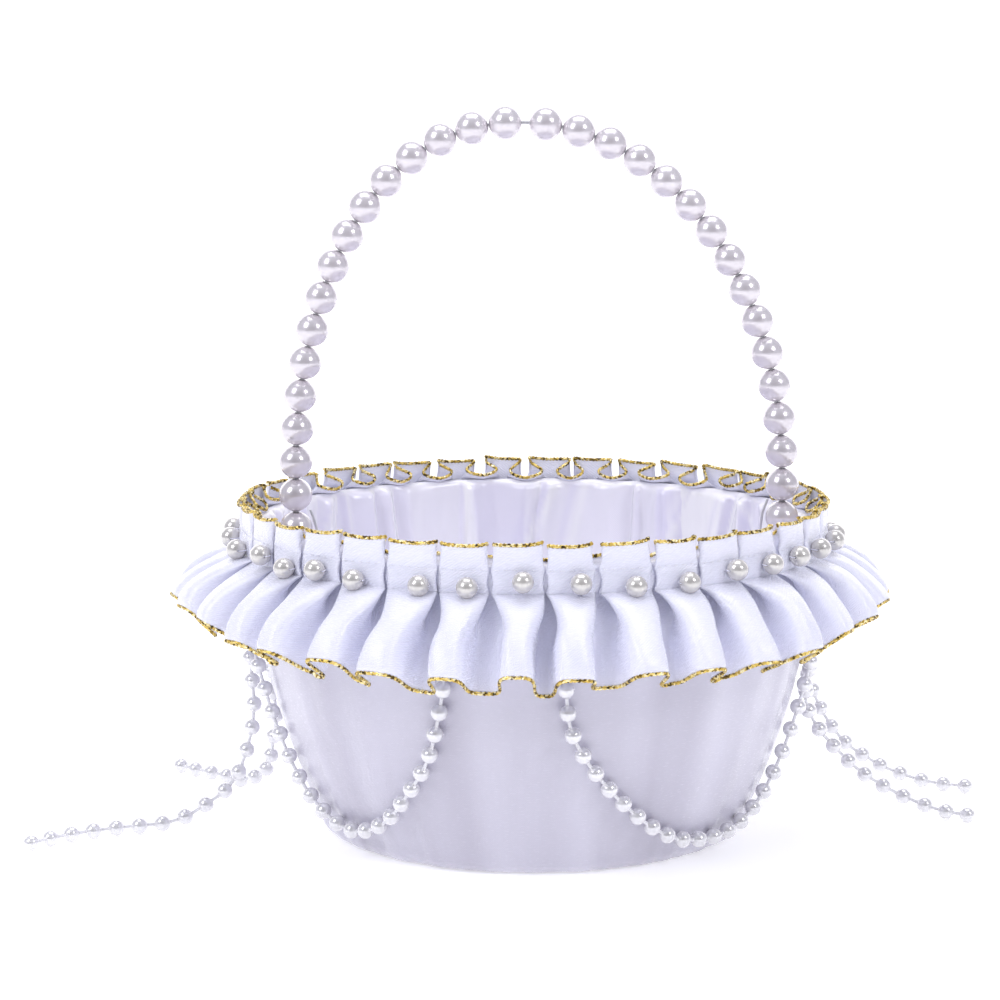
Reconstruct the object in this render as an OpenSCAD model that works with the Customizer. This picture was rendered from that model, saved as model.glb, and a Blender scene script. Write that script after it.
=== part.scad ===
// Satin covered basket with a pearl-threaded wire handle, a box-pleated ribbon
// ruffle and four moulded bead strings. Millimetres, Z up.
// Origin: middle of the base, on the surface that the basket stands on.
// The handle arch lies in the XZ plane, and the front of the basket faces -Y.

/* [Basket] */
// Height of the moulded rim above the base
rim_h = 91; // [85:1:97]
// Radius over the satin at the rim
rim_r = 84; // [82:0.5:85]
// Radius over the satin where the wall springs from the rounded base edge
foot_r = 62; // [60:0.5:64]
// Radius of the flat that the basket stands on
base_r = 58.5; // [56:0.5:59]
// Wall thickness of the moulded shell
shell_t = 1.6; // [1.4:0.1:1.8]
// Thickness of the gathered satin on each side of the shell
satin_t = 0.8; // [0.6:0.1:0.8]
// Thickness of the card disc under the base
card_t = 1.6; // [1.4:0.1:2]
// Radius of the padded disc on the inside floor
pad_r = 58.8; // [54:0.2:59]
// Thickness of the padded disc
pad_t = 4; // [2:0.5:6]

/* [Ruffle] */
// Number of box pleats, each with one pearl
pleats = 36; // [30:1:40]
// Height of the upper row of stitches
stitch_hi = 91.2; // [90:0.2:91.6]
// Height of the lower row of stitches
stitch_lo = 84.7; // [84.4:0.1:85.5]
// Outer radius of the ruffle between the stitch rows
header_r = 87; // [86.5:0.1:87.4]
// Height of the top edge of the ribbon
header_h = 97.7; // [96:0.1:99]
// Outer radius of the flounce at its hem
hem_r = 107; // [104:0.5:108]
// Height of the hem above the base
hem_h = 63; // [62:0.5:66]
// Diameter of the metallic edging
edging_d = 1.0; // [0.8:0.1:1.2]
// Diameter of the pearls on the ruffle
ruffle_pearl_d = 6; // [5:0.5:6]

/* [Handle] */
// Half width of the wire arch
arch_a = 72.4; // [71.6:0.1:72.8]
// Height of the top of the wire above the base
arch_top = 209; // [200:1:220]
// Diameter of the handle wire
wire_d = 1.2; // [1:0.1:1.2]
// Diameter of the handle pearls
pearl_d = 9.9; // [9:0.1:9.9]
// Hole through each handle pearl
pearl_bore_d = 2.0; // [1.9:0.1:2.4]
// Height of the pivot holes in the wall
pivot_h = 80; // [79:0.5:81]
// Length of bare wire at the crown
crown_gap = 1.9; // [1:0.1:2.2]

/* [Bead strings] */
// Diameter of one moulded bead
bead_d = 4.8; // [4:0.1:4.8]
// Distance from one bead to the next
bead_pitch = 7.0; // [6:0.1:8]
// Diameter of the string between the beads
string_d = 1.0; // [0.8:0.1:1.2]
// Diameter of the sewn knots that hold the strings
knot_d = 2.4; // [2:0.1:2.4]

/* [Hidden] */

// Outer radius of the satin cover at height z: a parabola that ends upright at the rim,
// with a quarter of an ellipse 5 mm high at the base edge.
edge_h = 5;
function wall_r(z) = foot_r + (rim_r - foot_r) * (1 - pow(1 - min(z, rim_h) / rim_h, 2));
function cover_r(z) = z >= edge_h ? wall_r(z)
    : base_r + (wall_r(edge_h) - base_r) * sqrt(max(0, 1 - pow((edge_h - z) / edge_h, 2)));
wall_z = [for (z = [0, 0.4, 1.2, 1.6, 2.6, 3.2, 5, 10, 18, 27, 36, 45, 55, 65, 75, 83]) z];
shell_floor = card_t;               // underside of the moulded floor
floor_top = shell_floor + shell_t;  // inside of the moulded floor

// ---------- general helpers ----------
function spline(a, b, c, d, t) =
    0.5 * (2 * b + (c - a) * t + (2 * a - 5 * b + 4 * c - d) * t * t + (3 * b - a - 3 * c + d) * t * t * t);
// smooth curve through the points, m steps to a span
function smooth(p, m) = [
    for (i = [0 : len(p) - 2], j = [0 : m - 1])
        spline(p[max(i - 1, 0)], p[i], p[i + 1], p[min(i + 2, len(p) - 1)], j / m),
    p[len(p) - 1]];
// distance along a chain of points, one value for each point
function along(p) = [for (i = 0, s = 0; i < len(p);
    s = s + (i < len(p) - 1 ? norm(p[i + 1] - p[i]) : 0), i = i + 1) s];
// the point at distance s along the chain
function at(p, d, s) = [for (k = [0 : 2]) lookup(s, [for (i = [0 : len(p) - 1]) [d[i], p[i][k]]])];
function unit(v) = v / norm(v);
function pol(a, r, z) = [r * sin(a), -r * cos(a), z];   // a = 0 at the front, + towards +X

// round string of n sides swept along the chain c; flat ends
module sweep(c, r, n, ref) {
    m = len(c);
    pts = [for (i = [0 : m - 1])
        let (t = unit(c[min(i + 1, m - 1)] - c[max(i - 1, 0)]),
             u = unit(cross(t, ref[min(i, len(ref) - 1)])), v = cross(t, u))
        for (k = [0 : n - 1]) c[i] + r * cos(k * 360 / n) * u + r * sin(k * 360 / n) * v];
    polyhedron(points = pts, faces = concat(
        [[for (k = [0 : n - 1]) k]],
        [for (i = [0 : m - 2], k = [0 : n - 1], h = [0, 1])
            let (a = i * n + k, b = i * n + (k + 1) % n)
            h == 0 ? [a, a + n, b + n] : [a, b + n, b]],
        [[for (k = [n - 1 : -1 : 0]) (m - 1) * n + k]]));
}
// straight round bar from p to q
module bar(p, q, r) {
    d = q - p;
    translate(p) rotate([0, acos(d[2] / norm(d)), atan2(d[1], d[0])]) cylinder(h = norm(d), r = r, $fn = 24);
}

// ---------- basket ----------
// solid of revolution between the outer satin surface set in by a and set in by b, from z0 to z1
module wall(a, b, z0, z1) {
    zz = concat([z0], [for (z = wall_z) if (z > z0 + 0.3 && z < z1 - 0.3) z], [z1]);
    rotate_extrude($fn = 144) polygon(concat(
        [for (z = zz) [cover_r(z) - a, z]],
        [for (i = [len(zz) - 1 : -1 : 0]) [cover_r(zz[i]) - b, zz[i]]]));
}
module pivot_holes(d) {
    translate([-rim_r - 5, 0, pivot_h]) rotate([0, 90, 0]) cylinder(h = 12, d = d, $fn = 32);
    translate([rim_r - 7, 0, pivot_h]) rotate([0, 90, 0]) cylinder(h = 12, d = d, $fn = 32);
}
// moulded plastic bowl, open at the top, with one pivot hole on each side
module basket_shell() color("whitesmoke") difference() {
    union() {
        wall(satin_t, satin_t + shell_t, shell_floor, rim_h);
        translate([0, 0, shell_floor]) cylinder(h = shell_t, r = cover_r(shell_floor) - satin_t - 0.5, $fn = 144);
    }
    pivot_holes(wire_d + 0.16);
}
// stiff card that closes the underside over the turned-in satin
module base_card() color("white") cylinder(h = card_t, r = base_r - 5, $fn = 144);
// gathered satin on the outside of the wall, turned in under the base
module outer_cover() color([0.93, 0.93, 0.98]) difference() {
    union() {
        wall(0, satin_t, 1.2, rim_h);
        rotate_extrude($fn = 144) polygon([[base_r - 4.7, 0.3], [base_r, 0.3], [cover_r(1.2), 1.2],
            [cover_r(1.2) - satin_t, 1.55], [base_r - 4.7, 1.55]]);
    }
    pivot_holes(3);
}
// gathered satin on the inside of the wall, folded over the rim
module lining() color([0.95, 0.94, 0.99]) difference() {
    union() {
        wall(satin_t + shell_t, 2 * satin_t + shell_t, floor_top, rim_h);
        translate([0, 0, rim_h]) rotate_extrude($fn = 144)
            polygon([[rim_r - 2 * satin_t - shell_t, 0], [rim_r, 0], [rim_r - 0.4, 0.8], [rim_r - 2 * satin_t - shell_t + 0.4, 0.8]]);
    }
    pivot_holes(3);
}
// satin covered foam disc that lies on the moulded floor
module floor_pad() color([0.96, 0.95, 1]) translate([0, 0, floor_top])
    rotate_extrude($fn = 144) polygon([[0, 0], [pad_r - 0.5, 0], [pad_r, 1], [pad_r, pad_t - 1.6], [pad_r - 1.6, pad_t], [0, pad_t]]);

// ---------- ruffle ----------
// one pleated ribbon: a standing header over the rim, two sewn rows and a flared flounce
module ruffle_ribbon() color([0.92, 0.92, 1]) rotate_extrude($fn = 144) polygon([
    [84.2, 84.2], [88.5, 81.3], [95.5, 75.8], [101.5, 69.4], [hem_r - 1.3, hem_h],
    [hem_r, hem_h + 0.4], [102.8, 70.6], [96.8, 77.2], [91, 82.2], [header_r, stitch_lo],
    [header_r, stitch_hi], [header_r + 0.6, header_h], [82.2, header_h], [82.2, 92.9], [84.2, 92.4]]);
module ring(r, z, d) translate([0, 0, z]) rotate_extrude($fn = 144) translate([r, 0]) circle(d = d, $fn = 24);
// metallic cord woven into the top edge of the ribbon
module top_gold_edging() color("goldenrod") ring(header_r + 0.2, header_h + 0.3, edging_d);
// metallic cord woven into the lower edge of the ribbon
module hem_gold_edging() color("goldenrod") ring(hem_r - 0.6, hem_h - 0.15, edging_d);
module stitch_row_upper() color("white") ring(header_r + 0.05, stitch_hi - 0.4, 0.4);
module stitch_row_lower() color("white") ring(header_r + 0.05, stitch_lo + 0.15, 0.4);
// each pearl sits near the middle of its pleat, a little off where the hand left it;
// the fourteen in front, from left to right, have their own offsets and heights
front_da = [3.6, 2, 0.6, -0.4, 2.6, 1.3, 1, 1, 0.8, 1, 1.3, 0.6, -0.7, -1.2];
front_z = [88.6, 86.7, 87.9, 86.7, 86.7, 86.8, 88.6, 88, 86.7, 86.7, 88.6, 88.5, 88.9, 88.9];
function front_i(i) = (i + 6) % pleats;
function pearl_a(i) = -2.8 + i * 360 / pleats
    + (front_i(i) < len(front_da) ? front_da[front_i(i)] : 1.1 * sin(i * 137) + 0.7 * sin(i * 61));
function pearl_z(i) = front_i(i) < len(front_z) ? front_z[front_i(i)] : 87.6 + 0.7 * sin(i * 97) + 0.4 * cos(i * 53);
module on_pleat(i) rotate([0, 0, pearl_a(i)]) translate([0, -(header_r + ruffle_pearl_d / 2 - 0.15), pearl_z(i)]) children();
module ruffle_pearls() color("ivory") for (i = [0 : pleats - 1]) on_pleat(i) difference() {
    sphere(d = ruffle_pearl_d, $fn = 48);
    rotate([0, 90, 0]) cylinder(h = ruffle_pearl_d + 2, d = 1, center = true, $fn = 24);
}
// short length of sewing thread in the hole of each ruffle pearl
module pearl_threads() color("white") for (i = [0 : pleats - 1]) on_pleat(i)
    rotate([0, 90, 0]) cylinder(h = ruffle_pearl_d + 0.6, d = 0.5, center = true, $fn = 16);

// ---------- handle ----------
// rounded arch that leans a little to -X at the crown; the legs drop straight to the pivot height
arch_z0 = 102;
arch_pow = 2.1;
function lean(z) = 1.6 - 5.7 * pow(max(0, (z - arch_z0) / (arch_top - arch_z0)), 2.4);
function arch_pt(f) = let (c = cos(f), s = sin(f),
        z = arch_z0 + (arch_top - arch_z0) * pow(abs(s), 2 / arch_pow))
    [sign(c) * arch_a * pow(abs(c), 2 / arch_pow) + lean(z), 0, z];
arch = concat([[-arch_a + 1.6, 0, pivot_h]], [for (f = [180 : -1.5 : 0]) arch_pt(f)], [[arch_a + 1.6, 0, pivot_h]]);
arch_s = along(arch);
side_n = 16;                       // pearls on each side of the crown gap
pearl_step = pearl_d + 0.03;
crown_s = arch_s[len(arch) - 1] / 2 - 1.6;   // middle of the bare stretch
function pearl_s(i) = i < side_n ? crown_s - (pearl_step + crown_gap) / 2 - (side_n - 1 - i) * pearl_step
    : crown_s + (pearl_step + crown_gap) / 2 + (i - side_n) * pearl_step;
// the wire runs from pearl centre to pearl centre and through the middle of the bare
// stretch, with its ends inside the pivot bars
wire_c = concat([[-arch_a - 0.5, 0, pivot_h], at(arch, arch_s, 1.2)],
    [for (i = [0 : side_n - 1]) at(arch, arch_s, pearl_s(i))],
    [at(arch, arch_s, crown_s)],
    [for (i = [side_n : 2 * side_n - 1]) at(arch, arch_s, pearl_s(i))],
    [at(arch, arch_s, arch_s[len(arch) - 1] - 1.2), [arch_a + 3.7, 0, pivot_h]]);
// steel wire: the arch, and at each end a straight leg that turns in the hole in the wall
module handle_wire() color("dimgray") {
    sweep(wire_c, wire_d / 2 - 0.05, 8, [[0, 1, 0]]);
    for (s = [-1, 1]) {
        x0 = s * arch_a + 1.6;
        bar([x0 - s * 1.2, 0, pivot_h], [s * 86.3, 0, pivot_h], wire_d / 2);
        translate([s * 86.3, 0, pivot_h]) sphere(d = wire_d + 0.3, $fn = 32);
        bar([s * 86.3, 0, pivot_h], [s * 86.3, 0, pivot_h - 3.2], wire_d / 2 - 0.06);
    }
}
function wire_dir(s) = unit(at(arch, arch_s, s + 2) - at(arch, arch_s, s - 2));
module handle_pearl(s) {
    t = wire_dir(s);
    translate(at(arch, arch_s, s)) rotate([0, atan2(t[0], t[2]), 0]) difference() {
        sphere(d = pearl_d, $fn = 64);
        cylinder(h = pearl_d + 2, d = pearl_bore_d, center = true, $fn = 32);
    }
}
module handle_pearls() color("lavenderblush") for (i = [0 : 2 * side_n - 1]) if (i != side_n) handle_pearl(pearl_s(i));
// the first pearl to the right of the bare stretch, which has room to slide
module crown_pearl() color("lavenderblush") handle_pearl(pearl_s(side_n));
// two turns of thin wire that lock each leg, with the cut end standing beside it
module wire_twist(x, e, waist) {
    p = [[x + e * 1.3, 0, 83.2], [x + e * 6.3, 0, 86.3], [x + e * 5.9, 0, waist - 4.5], [x + e * 4.2, 0, waist + 0.5]];
    for (z = [82.9, 83.6]) translate([x, 0, z]) rotate_extrude($fn = 48) translate([wire_d / 2 + 0.5, 0]) circle(d = 0.8, $fn = 20);
    bar(p[0], p[1], 0.36);
    bar(p[1], p[2], 0.36);
    bar(p[2], p[3], 0.36);
    for (q = [p[1], p[2]]) translate(q) sphere(d = 0.86, $fn = 20);
}
module wire_twist_left() color("gray") wire_twist(-arch_a + 1.6, 1, (at(arch, arch_s, pearl_s(0)) + at(arch, arch_s, pearl_s(1)))[2] / 2);
module wire_twist_right() color("gray") wire_twist(arch_a + 1.6, -1, (at(arch, arch_s, pearl_s(2 * side_n - 1)) + at(arch, arch_s, pearl_s(2 * side_n - 2)))[2] / 2);

// ---------- bead strings ----------
off = bead_d / 2 + 0.7;             // distance of a swag's string from the satin
// swags: [angle from the front, height], from the inner knot to the side knot
fl_route = [[-16, 70], [-17, 58], [-19, 46], [-22, 35], [-28, 24], [-35, 15], [-43, 10], [-51, 8.5],
            [-59, 11], [-66, 16], [-71, 24], [-74, 34], [-76.5, 46], [-79, 58], [-81, 70]];
fr_route = [[5, 70], [6, 58], [7, 47], [10, 38], [15, 29], [21, 21], [28, 14], [36, 9], [44, 7], [53, 6.5],
            [61, 8], [68, 12], [74, 18], [78, 26], [80, 35], [81, 46], [81, 58], [80, 70]];
rl_route = [[-163, 70], [-162, 58], [-160, 46], [-157, 35], [-152, 25], [-146, 17], [-139, 12.5], [-132, 12],
            [-126, 16], [-121, 24], [-117.5, 34], [-115, 46], [-113, 58], [-112, 70]];
rr_route = [[175, 70], [174, 58], [172.5, 47], [169, 37], [164, 28], [158, 20], [151, 14], [143, 10.5],
            [135, 9.5], [128, 11.5], [121.5, 17], [117.5, 25], [115, 35], [113, 46], [112, 58], [112, 70]];
// tails: x, y, z from the knot down to the surface
tfl_route = [[-84, -6, 68.2], [-84.5, -6, 60], [-84.5, -6, 52], [-84, -6, 44.5], [-83.5, -6.5, 37.5],
             [-84, -7.5, 30.5], [-85.5, -8, 24], [-88, -9, 17], [-92, -10, 11.5], [-97.5, -11.5, 7.5],
             [-103.5, -13, 4.2], [-109.5, -15, 2.6], [-116, -17.5, 2.5], [-122.5, -20, 2.5],
             [-129, -23, 2.5], [-135, -27, 2.5], [-140.5, -31.5, 2.5], [-145.5, -37, 2.5]];
tfr_route = [[84, -6, 68.2], [84.5, -6, 60], [83.5, -6, 52], [82, -5, 45], [81.5, -4, 38.5], [83, -2, 33],
             [87, -1, 26.5], [92, 0, 21], [96.5, 1.5, 16.3], [101.5, 2.5, 12.3], [107, 3.5, 8.8],
             [112, 3.5, 6.2], [118, 2, 3.9], [124, -1.5, 2.7], [130.5, -5.5, 2.5]];
trl_route = [[-81, 23.5, 68.2], [-81.5, 23, 60], [-81.5, 23, 50], [-81, 22.5, 42], [-80.3, 22.5, 34],
             [-79.5, 22.5, 27], [-80.5, 23, 20], [-81.5, 25, 14], [-83, 28.5, 9], [-87, 33, 5],
             [-92, 37.5, 2.6], [-97, 42.5, 2.5], [-102, 47, 2.5], [-108, 51.5, 2.5], [-113.5, 56.5, 2.5]];
trr_route = [[81, 23.5, 68.2], [83, 23, 60], [85, 23, 51], [85, 24, 44], [85, 27.5, 38.5], [87, 30.5, 33],
             [90, 32.5, 26.5], [94, 33, 20], [99, 34, 14.5], [104, 35, 11], [109.5, 36, 7.5],
             [115.5, 36.5, 5], [121.5, 35.5, 3.2], [128, 33, 2.5], [135, 30, 2.5]];
// a swag's route on the satin surface; both ends come in to the knots
function swag_c(rt) = [for (q = smooth(rt, 6))
    pol(q[0], cover_r(q[1]) + off - max(0, q[1] - 66) / 4 * (off - knot_d / 2 + 0.1), q[1])];
function knot_at(a) = pol(a, cover_r(70) + knot_d / 2 - 0.1, 70);
// string from s0 to s1 along the chain, one ring to half a pitch
module string_on(c, s0, s1, ref) {
    d = along(c);
    n = max(4, round((s1 - s0) / (bead_pitch / 2)));
    p = [for (i = [0 : n]) at(c, d, s0 + (s1 - s0) * i / n)];
    color("white") sweep(p, string_d / 2, 8, ref == undef ? [for (q = p) unit([q[0], q[1], 0])] : ref);
}
module beads_on(c, s0, count) {
    d = along(c);
    color("ghostwhite") for (i = [0 : count - 1]) translate(at(c, d, s0 + i * bead_pitch)) sphere(d = bead_d, $fn = 40);
}
knot_gap = knot_d / 2 + 0.3;
function total(c) = let (d = along(c)) d[len(d) - 1];
function swag_n(c) = floor((total(c) - 9) / bead_pitch) + 1;
function swag_s0(c) = (total(c) - (swag_n(c) - 1) * bead_pitch) / 2;
module swag_string(rt) { c = swag_c(rt); string_on(c, knot_gap, total(c) - knot_gap, undef); }
module swag_beads(rt) { c = swag_c(rt); beads_on(c, swag_s0(c), swag_n(c)); }
// a tail ends inside its last bead
function tail_n(c) = floor((total(c) - 3.5) / bead_pitch) + 1;
module tail_string(rt) { c = smooth(rt, 4); string_on(c, 0, total(c) - 0.4, [[0, 1, 0]]); }
module tail_beads(rt) { c = smooth(rt, 4); beads_on(c, total(c) - (tail_n(c) - 1) * bead_pitch, tail_n(c)); }

// sewn knots: one at each end of a swag and one at the top of each tail
module strand_knots() color("white") for (a = [-16, -81, 5, 80, -163, -112, 175, 112, -86, 86, -106, 106])
    translate(knot_at(a)) sphere(d = knot_d, $fn = 32);
module swag_front_left_string() swag_string(fl_route);
module swag_front_left_beads() swag_beads(fl_route);
module swag_front_right_string() swag_string(fr_route);
module swag_front_right_beads() swag_beads(fr_route);
module swag_rear_left_string() swag_string(rl_route);
module swag_rear_left_beads() swag_beads(rl_route);
module swag_rear_right_string() swag_string(rr_route);
module swag_rear_right_beads() swag_beads(rr_route);
module tail_front_left_string() tail_string(tfl_route);
module tail_front_left_beads() tail_beads(tfl_route);
module tail_front_right_string() tail_string(tfr_route);
module tail_front_right_beads() tail_beads(tfr_route);
module tail_rear_left_string() tail_string(trl_route);
module tail_rear_left_beads() tail_beads(trl_route);
module tail_rear_right_string() tail_string(trr_route);
module tail_rear_right_beads() tail_beads(trr_route);

basket_shell();
base_card();
outer_cover();
lining();
floor_pad();
ruffle_ribbon();
top_gold_edging();
hem_gold_edging();
stitch_row_upper();
stitch_row_lower();
ruffle_pearls();
pearl_threads();
handle_wire();
handle_pearls();
crown_pearl();
wire_twist_left();
wire_twist_right();
strand_knots();
swag_front_left_string();
swag_front_left_beads();
swag_front_right_string();
swag_front_right_beads();
swag_rear_left_string();
swag_rear_left_beads();
swag_rear_right_string();
swag_rear_right_beads();
tail_front_left_string();
tail_front_left_beads();
tail_front_right_string();
tail_front_right_beads();
tail_rear_left_string();
tail_rear_left_beads();
tail_rear_right_string();
tail_rear_right_beads();
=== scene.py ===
import math

import bpy
import numpy as np
from mathutils import Matrix, Vector


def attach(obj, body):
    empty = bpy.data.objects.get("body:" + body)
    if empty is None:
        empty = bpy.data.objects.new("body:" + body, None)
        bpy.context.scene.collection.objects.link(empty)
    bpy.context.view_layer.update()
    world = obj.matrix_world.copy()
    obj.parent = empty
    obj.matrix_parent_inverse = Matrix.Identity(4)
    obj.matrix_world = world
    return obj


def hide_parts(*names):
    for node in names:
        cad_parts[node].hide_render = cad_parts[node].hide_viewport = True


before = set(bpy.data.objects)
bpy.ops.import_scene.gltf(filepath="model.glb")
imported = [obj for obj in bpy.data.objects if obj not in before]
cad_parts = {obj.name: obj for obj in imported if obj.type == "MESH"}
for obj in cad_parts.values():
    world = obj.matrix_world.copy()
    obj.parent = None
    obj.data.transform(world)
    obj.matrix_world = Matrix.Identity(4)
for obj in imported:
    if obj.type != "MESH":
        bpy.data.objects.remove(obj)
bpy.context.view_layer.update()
scene = bpy.context.scene
MM = 0.001


# ---------------------------------------------------------------- shared shape, in mm, as in the CAD
def wall_r(z):
    return 62 + 22 * (1 - (1 - np.minimum(z, 91.0) / 91) ** 2)


def cover_r(z):
    z = np.asarray(z, float)
    low = 58.5 + (wall_r(5.0) - 58.5) * np.sqrt(np.clip(1 - ((5 - z) / 5) ** 2, 0, 1))
    return np.where(z >= 5, wall_r(z), low)


def pol(a, r, z):
    """a in degrees: 0 at the front, + towards +X."""
    a, r, z = np.broadcast_arrays(np.radians(np.asarray(a, float)), np.asarray(r, float), np.asarray(z, float))
    return np.stack([r * np.sin(a), -r * np.cos(a), z], -1)


def smooth(p, m):
    p = np.array(p, float)
    n, out = len(p), []
    for i in range(n - 1):
        a, b, c, d = p[max(i - 1, 0)], p[i], p[i + 1], p[min(i + 2, n - 1)]
        for j in range(m):
            t = j / m
            out.append(0.5 * (2 * b + (c - a) * t + (2 * a - 5 * b + 4 * c - d) * t * t
                              + (3 * b - a - 3 * c + d) * t ** 3))
    out.append(p[-1])
    return np.array(out)


def along(p):
    return np.concatenate([[0], np.cumsum(np.linalg.norm(np.diff(p, axis=0), axis=1))])


def at(p, d, s):
    s = np.asarray(s, float)
    return np.stack([np.interp(s, d, p[:, k]) for k in range(3)], -1)


def sstep(a, b, x):
    t = np.clip((np.asarray(x, float) - a) / (b - a), 0, 1)
    return t * t * (3 - 2 * t)


def ang_diff(a, b):
    return (a - b + 180) % 360 - 180


def wave_noise(seed, freqs, amps, slants=None):
    """Smooth noise round the axis: a sum of whole waves with seeded phases, f(angle in degrees, z in mm)."""
    g = np.random.default_rng(seed)
    ph = g.uniform(0, 2 * math.pi, len(freqs))
    sl = g.uniform(-1, 1, len(freqs)) * 0.03 if slants is None else np.full(len(freqs), slants)

    def f(a, z):
        out = 0.0
        for k, m, p, s in zip(freqs, amps, ph, sl):
            out = out + m * np.sin(np.radians(a) * k + p + s * z)
        return out
    return f


# ---------------------------------------------------------------- mesh helpers
def mesh_object(name, verts, faces, mat, smooth_shade=True, uv=None):
    """verts in mm, faces as rows of vertex numbers. uv: one pair for each vertex, or for each face corner."""
    me = bpy.data.meshes.new(name)
    me.from_pydata((np.asarray(verts, float) * MM).tolist(), [], [list(map(int, f)) for f in faces])
    me.update()
    me.polygons.foreach_set("use_smooth", [smooth_shade] * len(me.polygons))
    if uv is not None:
        layer = me.uv_layers.new(name="weave")
        uv = np.asarray(uv, float)
        if len(uv) == len(me.vertices):
            idx = np.zeros(len(me.loops), int)
            me.loops.foreach_get("vertex_index", idx)
            uv = uv[idx]
        layer.data.foreach_set("uv", uv.astype(np.float32).ravel())
    ob = bpy.data.objects.new(name, me)
    scene.collection.objects.link(ob)
    me.materials.append(mat)
    return ob


def apply_modifiers(ob):
    deps = bpy.context.evaluated_depsgraph_get()
    deps.update()
    new = bpy.data.meshes.new_from_object(ob.evaluated_get(deps), preserve_all_data_layers=True, depsgraph=deps)
    old = ob.data
    ob.modifiers.clear()
    ob.data = new
    new.name = ob.name
    bpy.data.meshes.remove(old)
    return ob


def solidify(ob, thick_mm, offset=0.0):
    m = ob.modifiers.new("thick", "SOLIDIFY")
    m.thickness = thick_mm * MM
    m.offset = offset
    m.use_even_offset = False
    m.use_rim = True
    return apply_modifiers(ob)


class Parts:
    """Collects closed pieces into one mesh."""

    def __init__(self):
        self.v, self.f, self.n = [], [], 0

    def add(self, v, f):
        self.v.append(np.asarray(v, float))
        self.f.extend([[i + self.n for i in q] for q in f])
        self.n += len(v)

    def build(self, name, mat, smooth_shade=True):
        return mesh_object(name, np.concatenate(self.v), self.f, mat, smooth_shade)


def frames(c, ref):
    """Tangent and two normals at each point of chain c; ref is a direction or one for each point."""
    c = np.asarray(c, float)
    t = np.gradient(c, axis=0)
    t /= np.linalg.norm(t, axis=1)[:, None]
    ref = np.broadcast_to(np.asarray(ref, float), c.shape)
    u = np.cross(t, ref)
    u /= np.maximum(np.linalg.norm(u, axis=1), 1e-9)[:, None]
    return t, u, np.cross(t, u)


def tube(c, r, n=12, ref=(0, 1, 0), closed=False, cap=True):
    """Round tube along chain c. r is a number or one for each point."""
    c = np.asarray(c, float)
    m = len(c)
    if closed:
        ext = np.concatenate([c[-1:], c, c[:1]])
        refx = np.asarray(ref, float)
        if refx.ndim == 2:
            refx = np.concatenate([refx[-1:], refx, refx[:1]])
        _, u, v = frames(ext, refx)
        u, v = u[1:-1], v[1:-1]
    else:
        _, u, v = frames(c, ref)
    r = np.broadcast_to(np.asarray(r, float), (m,))
    k = np.arange(n) * 2 * math.pi / n
    p = c[:, None] + r[:, None, None] * (np.cos(k)[None, :, None] * u[:, None] + np.sin(k)[None, :, None] * v[:, None])
    verts = p.reshape(-1, 3)
    rows = m if closed else m - 1
    faces = [[i * n + j, i * n + (j + 1) % n, ((i + 1) % m) * n + (j + 1) % n, ((i + 1) % m) * n + j]
             for i in range(rows) for j in range(n)]
    if not closed and cap:
        faces.append(list(range(n))[::-1])
        faces.append([(m - 1) * n + j for j in range(n)])
    return verts, faces


def lathe(prof, centre, axis, n, closed=True):
    """Turns profile rows (s along the axis, r) about axis at centre. closed: the profile is a loop."""
    prof = np.asarray(prof, float)
    t = np.asarray(axis, float) / np.linalg.norm(axis)
    ref = np.array([0, 1, 0.0]) if abs(t[1]) < 0.9 else np.array([1, 0, 0.0])
    u = np.cross(t, ref)
    u /= np.linalg.norm(u)
    v = np.cross(t, u)
    k = np.arange(n) * 2 * math.pi / n
    ring = np.cos(k)[:, None] * u + np.sin(k)[:, None] * v
    m = len(prof)
    p = np.asarray(centre, float) + prof[:, 0][:, None, None] * t + prof[:, 1][:, None, None] * ring[None]
    faces = []
    for i in range(m if closed else m - 1):
        a, b = i * n, ((i + 1) % m) * n
        faces += [[a + j, b + j, b + (j + 1) % n, a + (j + 1) % n] for j in range(n)]
    verts = p.reshape(-1, 3)
    if not closed:
        verts = np.concatenate([verts, [np.asarray(centre) + prof[0, 0] * t], [np.asarray(centre) + prof[-1, 0] * t]])
        c0, c1 = m * n, m * n + 1
        faces += [[c0, j, (j + 1) % n] for j in range(n)]
        faces += [[c1, (m - 1) * n + (j + 1) % n, (m - 1) * n + j] for j in range(n)]
    return verts, faces


def fix_normals(ob):
    import bmesh
    bm = bmesh.new()
    bm.from_mesh(ob.data)
    bmesh.ops.recalc_face_normals(bm, faces=bm.faces)
    bm.to_mesh(ob.data)
    bm.free()
    return ob


# ---------------------------------------------------------------- materials
def new_mat(name):
    m = bpy.data.materials.new(name)
    m.use_nodes = True
    nt = m.node_tree
    return m, nt, nt.nodes["Principled BSDF"]


def node(nt, kind, **kw):
    n = nt.nodes.new(kind)
    for k, v in kw.items():
        if k == "inp":
            for name, val in v.items():
                n.inputs[name].default_value = val
        else:
            setattr(n, k, v)
    return n


def ramp(nt, fac, stops):
    r = node(nt, "ShaderNodeValToRGB")
    el = r.color_ramp.elements
    while len(el) < len(stops):
        el.new(0.5)
    for e, (pos, col) in zip(el, stops):
        e.position = pos
        e.color = (*col, 1)
    nt.links.new(fac, r.inputs["Fac"])
    return r.outputs["Color"]


def mapping_uv(nt, rot=(0, 0, 0), scale=(1, 1, 1), uv="weave"):
    a = node(nt, "ShaderNodeUVMap", uv_map=uv)
    m = node(nt, "ShaderNodeMapping")
    m.inputs["Rotation"].default_value = rot
    m.inputs["Scale"].default_value = scale
    nt.links.new(a.outputs["UV"], m.inputs["Vector"])
    return m.outputs["Vector"]


def obj_coord(nt):
    return node(nt, "ShaderNodeTexCoord").outputs["Object"]


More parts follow.
